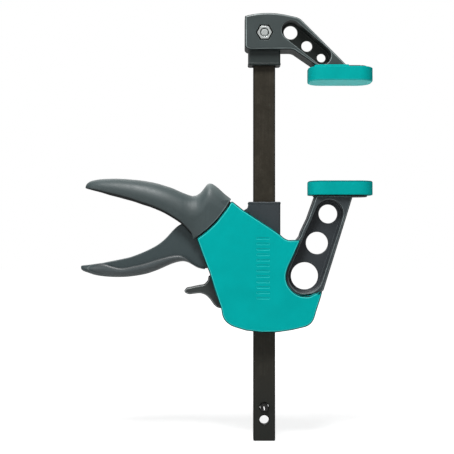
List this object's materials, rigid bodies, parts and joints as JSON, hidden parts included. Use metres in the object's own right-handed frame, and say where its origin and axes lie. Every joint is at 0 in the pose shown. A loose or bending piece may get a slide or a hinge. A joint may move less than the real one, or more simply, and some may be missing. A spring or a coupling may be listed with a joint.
{
  "type": "one-handed bar clamp",
  "caption": "One-handed bar clamp: flat steel bar, fixed jaw with soft pad, and a trigger-driven sliding body with grip, release lever and second pad.",
  "frame": {"origin": "middle of the fixed pad's clamping face", "axes": "+Z along the bar towards the fixed jaw, +X from the bar towards the pads, -Y towards the viewer of the picture"},
  "size_m": [0.1856, 0.027, 0.2717],
  "materials": {
    "bar_steel": "satin browned",
    "pin_steel": "satin black",
    "grey_nylon": "matte moulded",
    "teal_shell": "satin moulded",
    "teal_pad": "matte soft",
    "zinc_steel": "bright zinc",
    "spring_steel": "drawn wire"
  },
  "bodies": {
    "bar_assembly": {"bar": "bar_steel", "bar_stop_pin": "pin_steel", "fixed_jaw": "grey_nylon", "jaw_bolt": "zinc_steel", "jaw_washer": "zinc_steel", "jaw_nut": "zinc_steel", "fixed_pad": "teal_pad"},
    "carriage": {"body": "grey_nylon", "cover_front": "teal_shell", "cover_back": "teal_shell", "cover_screw_1": "zinc_steel", "cover_screw_2": "zinc_steel", "cover_screw_3": "zinc_steel", "cover_screw_4": "zinc_steel", "trigger_pin": "zinc_steel", "release_pin": "zinc_steel", "sliding_pad": "teal_pad", "drive_spring": "spring_steel", "lock_spring": "spring_steel"},
    "trigger_lever": {"trigger": "grey_nylon"},
    "drive_plates": {"drive_plate_1": "pin_steel", "drive_plate_2": "pin_steel"},
    "release": {"release_lever": "grey_nylon"},
    "lock": {"lock_plate": "pin_steel"}
  },
  "joints": [
    {"name": "carriage_slide", "type": "slide", "parent": "bar_assembly", "child": "carriage", "axis": [0, 0, 1], "range_m": [-0.045, 0.062]},
    {"name": "trigger_squeeze", "type": "hinge", "parent": "carriage", "child": "trigger_lever", "pos_m": [-0.0727, 0, -0.0991], "axis": [0, 1, 0], "range_deg": [0, 25], "stiffness_Nm_per_rad": 0.25, "springref_deg": -5.73},
    {"name": "drive_slide", "type": "slide", "parent": "carriage", "child": "drive_plates", "axis": [0, 0, 1], "range_m": [-0.0048, 0], "deforming": ["drive_spring"]},
    {"name": "release_press", "type": "hinge", "parent": "carriage", "child": "release", "pos_m": [-0.0753, 0, -0.1337], "axis": [0, 1, 0], "range_deg": [0, 11], "stiffness_Nm_per_rad": 0.1, "springref_deg": -5.73},
    {"name": "lock_tilt", "type": "hinge", "parent": "carriage", "child": "lock", "pos_m": [-0.0401, 0, -0.1395], "axis": [0, 1, 0], "range_deg": [-7, 0]}
  ],
  "couplings": [
    {"joint": "drive_slide", "follows": "trigger_squeeze", "m_per_rad": -0.01086},
    {"joint": "lock_tilt", "follows": "release_press", "ratio": -0.636}
  ]
}
